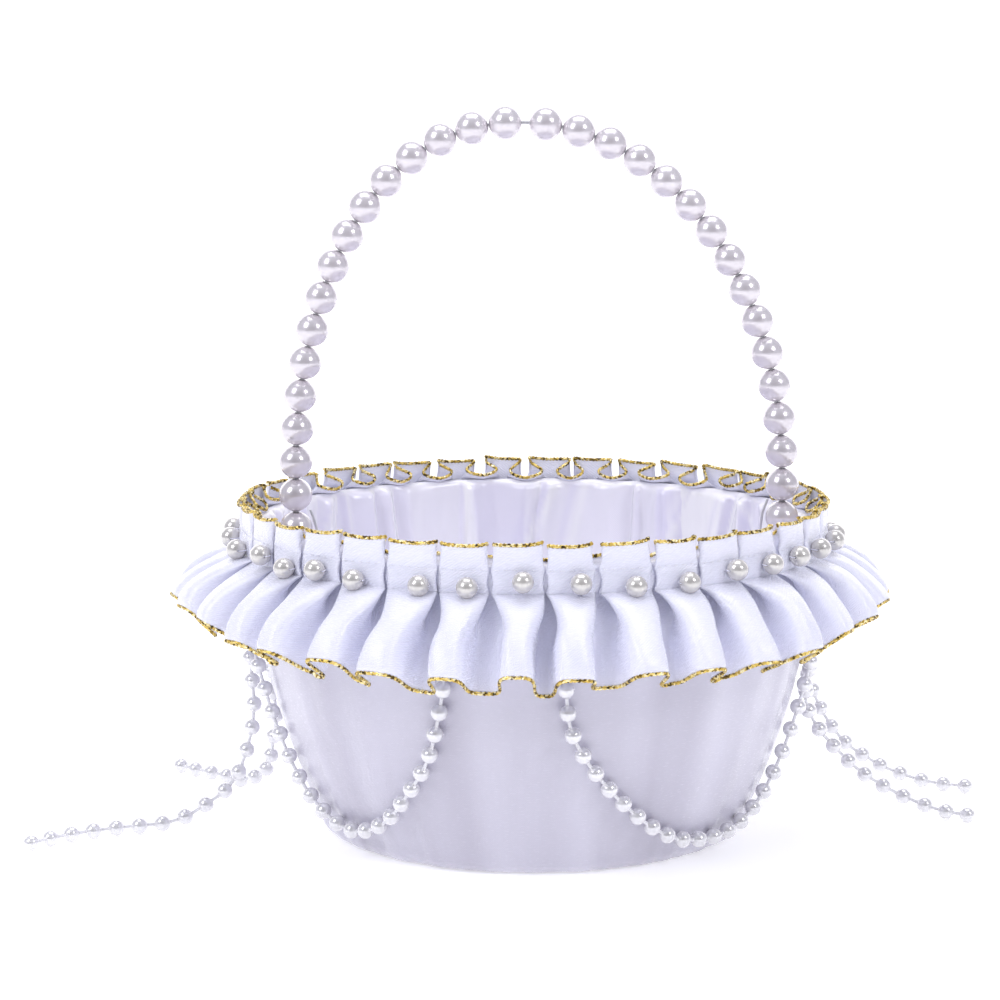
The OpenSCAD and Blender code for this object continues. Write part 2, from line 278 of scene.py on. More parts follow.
def noise(nt, vec, scale, detail=2.0, rough=0.5):
    n = node(nt, "ShaderNodeTexNoise")
    n.inputs["Scale"].default_value = scale
    n.inputs["Detail"].default_value = detail
    n.inputs["Roughness"].default_value = rough
    nt.links.new(vec, n.inputs["Vector"])
    return n.outputs["Fac"]


def math_node(nt, op, a, b):
    m = node(nt, "ShaderNodeMath", operation=op)
    for i, x in enumerate((a, b)):
        if isinstance(x, (int, float)):
            m.inputs[i].default_value = x
        else:
            nt.links.new(x, m.inputs[i])
    return m.outputs[0]


def mix_col(nt, fac, a, b):
    m = node(nt, "ShaderNodeMix", data_type="RGBA")
    if isinstance(fac, (int, float)):
        m.inputs[0].default_value = fac
    else:
        nt.links.new(fac, m.inputs[0])
    for i, c in ((6, a), (7, b)):
        if isinstance(c, tuple):
            m.inputs[i].default_value = (*c, 1)
        else:
            nt.links.new(c, m.inputs[i])
    return m.outputs[2]


def bump(nt, height, strength, dist, prev=None):
    b = node(nt, "ShaderNodeBump")
    b.inputs["Strength"].default_value = strength
    b.inputs["Distance"].default_value = dist
    nt.links.new(height, b.inputs["Height"])
    if prev is not None:
        nt.links.new(prev, b.inputs["Normal"])
    return b.outputs["Normal"]


def satin(name, light, dark, rough, twill_mm=0.55, twill_deg=45, twill=0.22, crease=0.25, sheen=0.25, coat=0.15, spec=0.55, glow=0.0, painted_fold_shade=0.0):
    """Woven satin: a fine diagonal twill from the cloth's own UVs, with slubs and a soft lustre."""
    m, nt, b = new_mat(name)
    vec = mapping_uv(nt, rot=(0, 0, math.radians(twill_deg)))
    w = node(nt, "ShaderNodeTexWave", wave_type="BANDS", bands_direction="X", wave_profile="SIN")
    w.inputs["Scale"].default_value = 0.314 / (twill_mm * 0.1)
    w.inputs["Distortion"].default_value = 0.6
    w.inputs["Detail"].default_value = 1.0
    w.inputs["Detail Scale"].default_value = 3.0
    nt.links.new(vec, w.inputs["Vector"])
    thread = noise(nt, mapping_uv(nt, scale=(4, 60, 1)), 1.0, 3, 0.6)
    oc = obj_coord(nt)
    cloud = noise(nt, oc, 60, 3, 0.55)
    k = 1.0 - painted_fold_shade
    fac = math_node(nt, "ADD", math_node(nt, "MULTIPLY", w.outputs["Fac"], 0.34 * k),
                    math_node(nt, "MULTIPLY", cloud, 0.46 * k))
    fac = math_node(nt, "ADD", fac, math_node(nt, "MULTIPLY", thread, 0.20 * k))
    if painted_fold_shade:                                 # painted shade and sheen: a value stored on each fold face makes the base colour lighter or darker, in place of the light the fold would catch
        at_ = node(nt, "ShaderNodeAttribute", attribute_name="painted_fold_shade")
        fac = math_node(nt, "ADD", fac, math_node(nt, "MULTIPLY", at_.outputs["Fac"], painted_fold_shade))
    nt.links.new(mix_col(nt, fac, light, dark), b.inputs["Base Color"])
    r = math_node(nt, "ADD", rough - 0.06, math_node(nt, "MULTIPLY", thread, 0.12))
    nt.links.new(r, b.inputs["Roughness"])
    n1 = bump(nt, w.outputs["Fac"], twill, 0.00006)
    n2 = bump(nt, thread, 0.10, 0.00006, n1)
    n3 = bump(nt, noise(nt, oc, 170, 4, 0.6), crease, 0.00025, n2)
    nt.links.new(n3, b.inputs["Normal"])
    b.inputs["Specular IOR Level"].default_value = spec
    if glow:                                  # light passes through a single thin layer of cloth
        b.inputs["Subsurface Weight"].default_value = glow
        b.inputs["Subsurface Radius"].default_value = (1.0, 1.0, 1.0)
        b.inputs["Subsurface Scale"].default_value = 0.0012
    b.inputs["Sheen Weight"].default_value = sheen
    b.inputs["Sheen Roughness"].default_value = 0.4
    b.inputs["Coat Weight"].default_value = coat
    b.inputs["Coat Roughness"].default_value = 0.24
    return m


def pearl(name, light, dark, metal=0.3, rough=0.16, scale=220, ior=1.55):
    m, nt, b = new_mat(name)
    oc = obj_coord(nt)
    cloud = noise(nt, oc, scale, 3, 0.5)
    body = mix_col(nt, cloud, light, dark)
    nt.links.new(body, b.inputs["Base Color"])
    nt.links.new(math_node(nt, "ADD", rough, math_node(nt, "MULTIPLY", cloud, 0.07)), b.inputs["Roughness"])
    nt.links.new(bump(nt, noise(nt, oc, scale * 6, 2, 0.5), 0.05, 0.00006), b.inputs["Normal"])
    b.inputs["Metallic"].default_value = metal
    b.inputs["IOR"].default_value = ior
    b.inputs["Coat Weight"].default_value = 1.0
    b.inputs["Coat IOR"].default_value = 1.65
    b.inputs["Coat Roughness"].default_value = 0.05
    b.inputs["Sheen Weight"].default_value = 0.15
    b.inputs["Sheen Tint"].default_value = (1.0, 0.9, 0.97, 1)
    return m


def gold(name):
    """Metallic yarn: bright and dark flakes at a flat thread's scale."""
    m, nt, b = new_mat(name)
    oc = obj_coord(nt)
    v = node(nt, "ShaderNodeTexVoronoi", feature="F1")
    v.inputs["Scale"].default_value = 1500
    v.inputs["Randomness"].default_value = 1.0
    nt.links.new(oc, v.inputs["Vector"])
    sep = node(nt, "ShaderNodeSeparateColor")
    nt.links.new(v.outputs["Color"], sep.inputs["Color"])
    col = ramp(nt, sep.outputs["Red"], [(0.0, (0.05, 0.035, 0.012)), (0.2, (0.16, 0.10, 0.02)),
                                         (0.36, (0.62, 0.43, 0.09)), (0.7, (0.86, 0.66, 0.20)), (0.93, (1.0, 0.90, 0.55))])
    nt.links.new(col, b.inputs["Base Color"])
    nt.links.new(math_node(nt, "ADD", 0.24, math_node(nt, "MULTIPLY", sep.outputs["Green"], 0.3)), b.inputs["Roughness"])
    nt.links.new(bump(nt, sep.outputs["Blue"], 0.5, 0.00012), b.inputs["Normal"])
    b.inputs["Metallic"].default_value = 0.8
    return m


def thread_mat(name, light, dark):
    m, nt, b = new_mat(name)
    oc = obj_coord(nt)
    w = node(nt, "ShaderNodeTexWave", wave_type="BANDS", bands_direction="DIAGONAL")
    w.inputs["Scale"].default_value = 900
    nt.links.new(oc, w.inputs["Vector"])
    nt.links.new(mix_col(nt, w.outputs["Fac"], light, dark), b.inputs["Base Color"])
    b.inputs["Roughness"].default_value = 0.6
    nt.links.new(bump(nt, w.outputs["Fac"], 0.4, 0.00005), b.inputs["Normal"])
    b.inputs["Sheen Weight"].default_value = 0.3
    return m


def plastic(name, light, dark, rough):
    m, nt, b = new_mat(name)
    oc = obj_coord(nt)
    cloud = noise(nt, oc, 90, 4, 0.6)
    nt.links.new(mix_col(nt, cloud, light, dark), b.inputs["Base Color"])
    nt.links.new(math_node(nt, "ADD", rough, math_node(nt, "MULTIPLY", cloud, 0.15)), b.inputs["Roughness"])
    nt.links.new(bump(nt, noise(nt, oc, 900, 2, 0.5), 0.15, 0.00008), b.inputs["Normal"])
    return m


def card(name):
    m, nt, b = new_mat(name)
    oc = obj_coord(nt)
    fibre = noise(nt, oc, 420, 5, 0.7)
    nt.links.new(mix_col(nt, fibre, (0.82, 0.80, 0.76), (0.70, 0.68, 0.64)), b.inputs["Base Color"])
    b.inputs["Roughness"].default_value = 0.85
    nt.links.new(bump(nt, fibre, 0.4, 0.0001), b.inputs["Normal"])
    return m


def steel(name):
    m, nt, b = new_mat(name)
    oc = obj_coord(nt)
    streak = noise(nt, oc, 500, 3, 0.6)
    nt.links.new(mix_col(nt, streak, (0.70, 0.70, 0.72), (0.46, 0.46, 0.48)), b.inputs["Base Color"])
    nt.links.new(math_node(nt, "ADD", 0.25, math_node(nt, "MULTIPLY", streak, 0.25)), b.inputs["Roughness"])
    nt.links.new(bump(nt, streak, 0.2, 0.00004), b.inputs["Normal"])
    b.inputs["Metallic"].default_value = 1.0
    return m


M_RIBBON = satin("ribbon_satin", (0.885, 0.89, 0.995), (0.785, 0.79, 0.965), 0.27, twill_mm=0.65, twill_deg=-56, twill=1.0, crease=0.12, sheen=0.2, coat=0.45, spec=0.8, glow=0.2)
# painted shade: the cover is the same white satin but gets a darker grey-lavender colour than the ribbon and the lining
M_COVER_PAINTED_SHADE_AND_SHEEN = satin("cover_satin", (0.66, 0.645, 0.745), (0.50, 0.48, 0.57), 0.26, twill_mm=0.5, twill=0.3, crease=0.12, sheen=0.15, coat=0.4, spec=0.85, painted_fold_shade=0.66)
# painted light: the lining's light colour is full white, above the other satin, to brighten the dimmer inside of the
# bowl
M_LINING_PAINTED_LIGHT_AND_SHADE = satin("lining_satin", (1.0, 0.995, 1.0), (0.79, 0.765, 0.925), 0.22, twill_mm=0.5, twill=0.3, crease=0.25, sheen=0.15, coat=0.6, spec=0.95, painted_fold_shade=0.82)
M_PAD = satin("pad_satin", (0.94, 0.92, 0.98), (0.86, 0.84, 0.94), 0.33, twill_mm=0.5, twill=0.3, crease=0.25, sheen=0.15, coat=0.3, spec=0.7)
M_GOLD = gold("gold_lurex")
M_HANDLE_PEARL = pearl("handle_pearl", (0.76, 0.725, 0.755), (0.67, 0.625, 0.665), metal=0.46, rough=0.20, scale=180)
M_RUFFLE_PEARL = pearl("ruffle_pearl", (0.69, 0.67, 0.635), (0.59, 0.57, 0.54), metal=0.45, rough=0.19, scale=260)
M_BEAD = pearl("string_bead", (0.86, 0.855, 0.87), (0.78, 0.775, 0.80), metal=0.36, rough=0.14, scale=300)
M_STRING = plastic("bead_string", (0.84, 0.835, 0.865), (0.76, 0.755, 0.79), 0.3)
M_THREAD = thread_mat("sewing_thread", (0.90, 0.90, 0.97), (0.70, 0.70, 0.82))
M_SHELL = plastic("shell_plastic", (0.82, 0.81, 0.82), (0.74, 0.73, 0.75), 0.4)
M_CARD = card("base_card")
M_STEEL = steel("steel_wire")

# ---------------------------------------------------------------- camera
cam_data = bpy.data.cameras.new("camera")
cam = bpy.data.objects.new("camera", cam_data)
scene.collection.objects.link(cam)
elev = math.radians(8.33)
cam.location = (0, -0.85 * math.cos(elev), 0.1 + 0.85 * math.sin(elev))
cam.rotation_euler = (math.radians(90) - elev, 0, 0)
cam_data.sensor_width = 36
cam_data.lens = 102.78
cam_data.shift_x = -0.0335
cam_data.shift_y = -0.0085
cam_data.clip_start = 0.05
cam_data.clip_end = 30
scene.camera = cam

# ---------------------------------------------------------------- bead strings
OFF = 4.8 / 2 + 0.7
PITCH = 7.0
routes = {
    "swag_front_left": [[-16, 70], [-17, 58], [-19, 46], [-22, 35], [-28, 24], [-35, 15], [-43, 10], [-51, 8.5],
                        [-59, 11], [-66, 16], [-71, 24], [-74, 34], [-76.5, 46], [-79, 58], [-81, 70]],
    "swag_front_right": [[5, 70], [6, 58], [7, 47], [10, 38], [15, 29], [21, 21], [28, 14], [36, 9], [44, 7],
                         [53, 6.5], [61, 8], [68, 12], [74, 18], [78, 26], [80, 35], [81, 46], [81, 58], [80, 70]],
    "swag_rear_left": [[-163, 70], [-162, 58], [-160, 46], [-157, 35], [-152, 25], [-146, 17], [-139, 12.5],
                       [-132, 12], [-126, 16], [-121, 24], [-117.5, 34], [-115, 46], [-113, 58], [-112, 70]],
    "swag_rear_right": [[175, 70], [174, 58], [172.5, 47], [169, 37], [164, 28], [158, 20], [151, 14], [143, 10.5],
                        [135, 9.5], [128, 11.5], [121.5, 17], [117.5, 25], [115, 35], [113, 46], [112, 58], [112, 70]],
    "tail_front_left": [[-84, -6, 68.2], [-84.5, -6, 60], [-84.5, -6, 52], [-84, -6, 44.5], [-83.5, -6.5, 37.5],
                        [-84, -7.5, 30.5], [-85.5, -8, 24], [-88, -9, 17], [-92, -10, 11.5], [-97.5, -11.5, 7.5],
                        [-103.5, -13, 4.2], [-109.5, -15, 2.6], [-116, -17.5, 2.5], [-122.5, -20, 2.5],
                        [-129, -23, 2.5], [-135, -27, 2.5], [-140.5, -31.5, 2.5], [-145.5, -37, 2.5]],
    "tail_front_right": [[84, -6, 68.2], [84.5, -6, 60], [83.5, -6, 52], [82, -5, 45], [81.5, -4, 38.5], [83, -2, 33],
                         [87, -1, 26.5], [92, 0, 21], [96.5, 1.5, 16.3], [101.5, 2.5, 12.3], [107, 3.5, 8.8],
                         [112, 3.5, 6.2], [118, 2, 3.9], [124, -1.5, 2.7], [130.5, -5.5, 2.5]],
    "tail_rear_left": [[-81, 23.5, 68.2], [-81.5, 23, 60], [-81.5, 23, 50], [-81, 22.5, 42], [-80.3, 22.5, 34],
                       [-79.5, 22.5, 27], [-80.5, 23, 20], [-81.5, 25, 14], [-83, 28.5, 9], [-87, 33, 5],
                       [-92, 37.5, 2.6], [-97, 42.5, 2.5], [-102, 47, 2.5], [-108, 51.5, 2.5], [-113.5, 56.5, 2.5]],
    "tail_rear_right": [[81, 23.5, 68.2], [83, 23, 60], [85, 23, 51], [85, 24, 44], [85, 27.5, 38.5], [87, 30.5, 33],
                        [90, 32.5, 26.5], [94, 33, 20], [99, 34, 14.5], [104, 35, 11], [109.5, 36, 7.5],
                        [115.5, 36.5, 5], [121.5, 35.5, 3.2], [128, 33, 2.5], [135, 30, 2.5]],
}


def strand_chain(name, m):
    rt = routes[name]
    if name.startswith("tail"):
        return smooth(rt, m)
    q = smooth(rt, m)
    z = q[:, 1]
    return pol(q[:, 0], cover_r(z) + OFF - np.maximum(0, z - 66) / 4 * (OFF - 1.1), z)


def bead_profile(r=2.4):
    a = np.radians(np.linspace(14, 166, 15))
    ball = [(-r * math.cos(x), r * math.sin(x)) for x in a]
    return [(-2.9, 0.40), (-2.55, 0.50)] + ball + [(2.55, 0.50), (2.9, 0.40)]


def end_bead_profile(r=2.4):
    a = np.radians(np.linspace(14, 174, 16))
    ball = [(-r * math.cos(x), r * math.sin(x)) for x in a]
    return [(-2.9, 0.40), (-2.55, 0.50)] + ball


def chain_dir(c, d, s):
    v = at(c, d, min(s + 1.2, d[-1])) - at(c, d, max(s - 1.2, 0))
    return v / np.linalg.norm(v)


for name in routes:
    tail = name.startswith("tail")
    c = strand_chain(name, 4 if tail else 6)
    d = along(c)
    total = d[-1]
    if tail:
        n = int((total - 3.5) // PITCH) + 1
        s0, a, b = total - (n - 1) * PITCH, 0.0, total - 0.4
    else:
        n = int((total - 9) // PITCH) + 1
        s0, a, b = (total - (n - 1) * PITCH) / 2, 1.5, total - 1.5
    fine = strand_chain(name, 8 if tail else 12)
    fd = along(fine)
    k = fd[-1] / total
    sp = np.linspace(a * k, b * k, int((b - a) / 1.75) + 1)
    pts = at(fine, fd, sp)
    cu = bpy.data.curves.new(name + "_cord", "CURVE")
    cu.dimensions = "3D"
    cu.bevel_depth = 0.5 * MM
    cu.bevel_resolution = 3
    cu.use_fill_caps = True
    spline = cu.splines.new("POLY")
    spline.points.add(len(pts) - 1)
    co = np.ones((len(pts), 4))
    co[:, :3] = pts * MM
    spline.points.foreach_set("co", co.ravel())
    cu.materials.append(M_STRING)
    cord = bpy.data.objects.new(name + "_cord", cu)
    scene.collection.objects.link(cord)
    beads = Parts()
    for i in range(n):
        s = s0 + i * PITCH
        last = tail and i == n - 1
        v, f = lathe(end_bead_profile() if last else bead_profile(), at(c, d, s), chain_dir(c, d, s), 20, closed=False)
        beads.add(v, f)
    bo = fix_normals(beads.build(name + "_moulded_beads", M_BEAD))
    body = "basket" if tail else name
    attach(cord, body)
    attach(bo, body)
    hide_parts(name + "_string")
    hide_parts(name + "_beads")

# sewn knots: a small ball of thread wound over itself
knots = Parts()
for a in [-16, -81, 5, 80, -163, -112, 175, 112, -86, 86, -106, 106]:
    k0 = pol(a, float(cover_r(70.0)) + 1.1, 70.0)
    th = np.linspace(0, 2 * math.pi, 97)[:-1]
    lat = 1.25 * np.sin(3 * th)
    p = 0.86 * np.stack([np.cos(lat) * np.cos(4 * th), np.cos(lat) * np.sin(4 * th), np.sin(lat)], -1)
    v, f = tube(k0 + p, 0.32, 6, ref=p / 0.86, closed=True)
    knots.add(v, f)
    aa = np.radians(np.linspace(2, 178, 9))
    v, f = lathe([(-0.9 * math.cos(x), 0.9 * math.sin(x)) for x in aa], k0, (0, 0, 1), 12, closed=False)
    knots.add(v, f)
ko = fix_normals(knots.build("strand_thread_knots", M_THREAD))
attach(ko, "basket")
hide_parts("strand_knots")

# ---------------------------------------------------------------- handle
ARCH_Z0, ARCH_TOP, ARCH_A, ARCH_P = 102.0, 209.0, 72.4, 2.1


def arch_pt(f):
    c, s = math.cos(math.radians(f)), math.sin(math.radians(f))
    z = ARCH_Z0 + (ARCH_TOP - ARCH_Z0) * abs(s) ** (2 / ARCH_P)
    lean = 1.6 - 5.7 * max(0, (z - ARCH_Z0) / (ARCH_TOP - ARCH_Z0)) ** 2.4
    x = math.copysign(1, c) * ARCH_A * abs(c) ** (2 / ARCH_P) + lean
    return [x, 0, z]


arch = np.array([[-ARCH_A + 1.6, 0, 80]] + [arch_pt(180 - 1.5 * i) for i in range(121)] + [[ARCH_A + 1.6, 0, 80]])
arch_s = along(arch)
STEP_P, GAP = 9.93, 1.9
crown_s = arch_s[-1] / 2 - 1.6


def pearl_s(i):
    return crown_s - (STEP_P + GAP) / 2 - (15 - i) * STEP_P if i < 16 else crown_s + (STEP_P + GAP) / 2 + (i - 16) * STEP_P


def bored_ball(R, bore, rows=26, lip=0.22):
    """Closed profile of a round pearl with a drilled hole and softened mouths."""
    t0 = math.asin((bore + lip) / R)
    a = np.linspace(t0, math.pi - t0, rows)
    out = [(-R * math.cos(x), R * math.sin(x)) for x in a]
    e = R * math.cos(t0)
    mouth = [(e - 0.04, bore + lip * 0.45), (e - 0.16, bore + lip * 0.1), (e - 0.34, bore)]
    inner = [(x, bore) for x in np.linspace(e - 1.4, -(e - 1.4), 4)]
    return out + mouth + inner + [(-x, y) for x, y in reversed(mouth)]


pearls = Parts()
for i in range(32):
    s = pearl_s(i)
    t = at(arch, arch_s, s + 2) - at(arch, arch_s, s - 2)
    v, f = lathe(bored_ball(4.95, 1.0), at(arch, arch_s, s), t, 44)
    if i == 16:
        one = Parts()
        one.add(v, f)
        cp = fix_normals(one.build("crown_slide_pearl", M_HANDLE_PEARL))
        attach(cp, "crown_pearl")
        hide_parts("crown_pearl")
    else:
        pearls.add(v, f)
hp = fix_normals(pearls.build("arch_pearls", M_HANDLE_PEARL))
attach(hp, "handle")
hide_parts("handle_pearls")


def fillet(pts, rad, n=6):
    """Rounds the corners of a chain of straight runs."""
    pts = [np.array(p, float) for p in pts]
    out = [pts[0]]
    for a, b, c in zip(pts, pts[1:], pts[2:]):
        u, v = (a - b) / np.linalg.norm(a - b), (c - b) / np.linalg.norm(c - b)
        p, q = b + u * rad, b + v * rad
        for t in np.linspace(0, 1, n):
            out.append((1 - t) ** 2 * p + 2 * t * (1 - t) * b + t * t * q)
    out.append(pts[-1])
    return out


xl, xr = -ARCH_A + 1.6, ARCH_A + 1.6
leg_l = fillet([[-86.3, 0, 76.8], [-86.3, 0, 80], [xl, 0, 80], [xl, 0, 84]], 0.9)
leg_r = fillet([[xr, 0, 84], [xr, 0, 80], [86.3, 0, 80], [86.3, 0, 76.8]], 0.9)
mid = at(arch, arch_s, np.linspace(6, arch_s[-1] - 6, 200))
path = np.array(leg_l + list(mid) + leg_r)
v, f = tube(path, 0.56, 14, ref=(0, 1, 0))
w = Parts()
w.add(v, f)
wire = fix_normals(w.build("arch_wire", M_STEEL))
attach(wire, "handle")
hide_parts("handle_wire")

for side, x, e, waist in (("left", xl, 1, 94.05), ("right", xr, -1, 97.26)):
    turns = np.linspace(0, 2 * math.pi * 2.15, 60)
    coil = np.stack([x + e * 1.02 * np.cos(turns), 1.02 * np.sin(turns), 82.55 + 0.72 * turns / (2 * math.pi)], -1)
    stub = smooth([coil[-1], [x + e * 2.6, 1.0, 84.4], [x + e * 5.6, 0.4, 85.7], [x + e * 6.3, 0, 87.4],
                   [x + e * 5.9, 0, waist - 4.5], [x + e * 5.1, 0, waist - 1.8], [x + e * 4.3, 0, waist + 0.4]], 8)
    v, f = tube(np.concatenate([coil, stub[1:]]), 0.36, 10, ref=(0.31, 0.93, 0.2))
    p = Parts()
    p.add(v, f)
    tw = fix_normals(p.build("twisted_wire_end_" + side, M_STEEL))
    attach(tw, "handle")
    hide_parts("wire_twist_" + side)

# ---------------------------------------------------------------- pleated ribbon
PLEATS = 36
rng = np.random.default_rng(21)
# left and right edge of each outer panel in degrees, round numbers; the others follow the even pitch
seen = {32: (-47, -38), 33: (-37, -28), 34: (-27, -17.7), 35: (-16.8, -8.3), 0: (-7.2, 1.6), 1: (2.6, 10.5), 2: (12.3, 21.2),
        3: (22.6, 30.7), 4: (31.7, 40.4), 5: (41, 50.4), 13: (122.5, 130.5), 14: (131.3, 140.5), 15: (142.4, 151.2),
        16: (152.8, 161.1), 17: (162.8, 171.2), 18: (172, 181), 19: (182.8, 190.5), 20: (193, 201.2), 21: (203, 211.6),
        22: (212.5, 220.4), 23: (221.6, 230.3)}
edges = np.zeros((PLEATS, 2))
for i in range(PLEATS):
    if i in seen:
        lo, hi = seen[i]
        if i >= 24:
            lo, hi = lo + 360, hi + 360
        edges[i] = (lo, hi)
    else:
        c0 = -2.8 + 10 * i + rng.uniform(-0.35, 0.35)
        h = rng.uniform(4.05, 4.5)
        edges[i] = (c0 - h, c0 + h)
centre = edges.mean(1)
half = (edges[:, 1] - edges[:, 0]) / 2
nxt = np.roll(edges[:, 0], -1).copy()
nxt[-1] += 360
gap_c = (edges[:, 1] + nxt) / 2           # middle of the gap after pleat i
gap_h = (nxt - edges[:, 1]) / 2

half_u = np.array([0, .035, .07, .105, .135, .155, .167, .177, .187, .2, .225, .26, .295, .318, .332, .346, .37, .41, .455, .5])
# control rows, half a pleat each: u, tangential share, depth inwards (mm), drop (mm)
flat_u = np.array([0, .085, .163, .177, .19, .262, .319, .335, .35, .42, .5])
flat_x = np.array([0, .5, .955, 1.0, .955, .53, .2, .15, .2, .6, 1.0])
flat_d = np.array([0, 0, 0.02, .27, .55, .55, .55, .82, 1.1, 1.1, 1.1])
loop_u = np.array([0, .078, .146, .168, .194, .241, .293, .337, .372, .42, .5])
loop_x = np.array([0, .48, .9, 1.0, .965, .77, .52, .37, .45, .68, 1.0])
loop_d = np.array([0, 0, 0.02, .45, 1.3, 2.5, 3.7, 4.8, 5.9, 6.8, 7.2])
loop_z = np.array([0, 0, 0, .12, .55, 1.3, 2.1, 2.85, 3.55, 4.2, 4.6])
wave_u = np.array([0, .07, .12, .155, .19, .24, .29, .335, .38, .44, .5])
wave_a = np.array([0, 1.15, 2.05, 2.5, 2.7, 2.74, 2.82, 3.15, 3.75, 4.45, 5.0])
wave_m = np.array([0, 0.0, .06, .2, .38, .58, .78, .92, .99, 1.0, 1.0])


def soft_interp(x, xp, fp):
    """Smooth curve through control values (cubic, monotone enough for these)."""
    dx = np.diff(xp)
    m = np.diff(fp) / dx
    t = np.concatenate([[m[0]], (m[:-1] * dx[1:] + m[1:] * dx[:-1]) / (dx[1:] + dx[:-1]), [m[-1]]])
    t[1:-1] = np.where(m[:-1] * m[1:] <= 0, 0, t[1:-1])
    k = np.clip(np.searchsorted(xp, x, side="right") - 1, 0, len(xp) - 2)
    h = dx[k]
    s = (x - xp[k]) / h
    return ((1 + 2 * s) * (1 - s) ** 2 * fp[k] + s * (1 - s) ** 2 * h * t[k]
            + s * s * (3 - 2 * s) * fp[k + 1] + s * s * (s - 1) * h * t[k + 1])


TOP_Z, HI_Z, LO_Z = 97.7, 91.2, 84.7
v_rows = np.array([0, 0.5, 1.2, 2.2, 3.4, 4.6, 5.6, 6.1, 6.5, 6.9, 7.5, 9.2, 11.0, 12.1, 12.6, 13.0, 13.4, 14.0,
                   15.2, 16.8, 18.6, 20.6, 22.8, 25.2, 27.8, 30.6, 33.4, 36.2, 39.0, 41.4, 43.1, 44.2])
V_END = v_rows[-1]

cols = []                                  # (pleat, side, u): side +1 right half of pleat i, -1 left half
for i in range(PLEATS):
    for u in half_u[:-1]:
        cols.append((i, 1, u))
    for u in half_u[:0:-1]:
        cols.append(((i + 1) % PLEATS, -1, u))
col_p = np.array([c[0] for c in cols])
col_s = np.array([c[1] for c in cols], float)
col_u = np.array([c[2] for c in cols])
NC = len(cols)

pl = {k: rng.uniform(-1, 1, PLEATS) for k in ("lean", "wide", "hz", "hr", "tilt", "curl", "mid", "bow", "skew", "sharp")}
gp = {k: rng.uniform(-1, 1, PLEATS) for k in ("deep", "drop", "hz", "hr", "shift", "open")}
gap_i = np.where(col_s > 0, col_p, (col_p - 1) % PLEATS)       # the gap each column belongs to
ci = centre[col_p]
wrap = np.where(col_s > 0, 1, -1)
gc = gap_c[gap_i]
# bring the gap centre next to the pleat centre
gc = ci + (gc - ci + 180) % 360 - 180
half_gap_angle = np.abs(gc - ci)                                 # angle from pleat middle to gap middle
hw = half[col_p]


